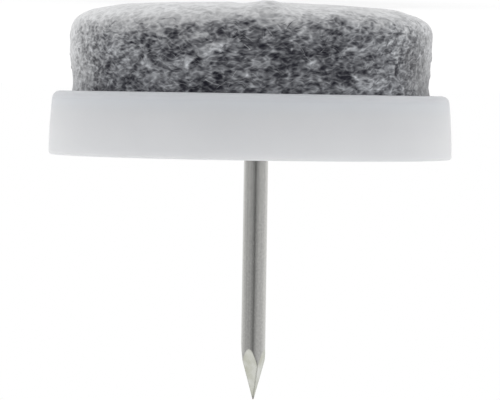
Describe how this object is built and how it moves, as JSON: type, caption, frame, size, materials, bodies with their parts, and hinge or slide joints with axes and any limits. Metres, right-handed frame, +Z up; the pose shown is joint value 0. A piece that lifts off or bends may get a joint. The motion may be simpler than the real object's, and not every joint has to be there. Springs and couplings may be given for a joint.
{
  "type": "nail-on furniture glide",
  "caption": "Round furniture glide: a grey felt disc glued into a shallow white plastic cup, with a pointed wire nail that drives into the end of a chair or table leg.",
  "frame": {"origin": "centre of the felt's flat face, on the floor", "axes": "+Z up, along the nail from the felt towards the leg; the nail stands slightly off the cup's centre, towards -X; +Y points away from the picture's viewer"},
  "size_m": [0.028, 0.028, 0.0275],
  "materials": {
    "white_plastic": "smooth moulded, slightly translucent",
    "nail_steel": "bright drawn wire with a cut point",
    "grey_felt": "needled felt, mottled dark and light grey"
  },
  "bodies": {
    "root": {"plastic_cup": "white_plastic", "steel_nail": "nail_steel", "felt_pad": "grey_felt"}
  },
  "joints": []
}
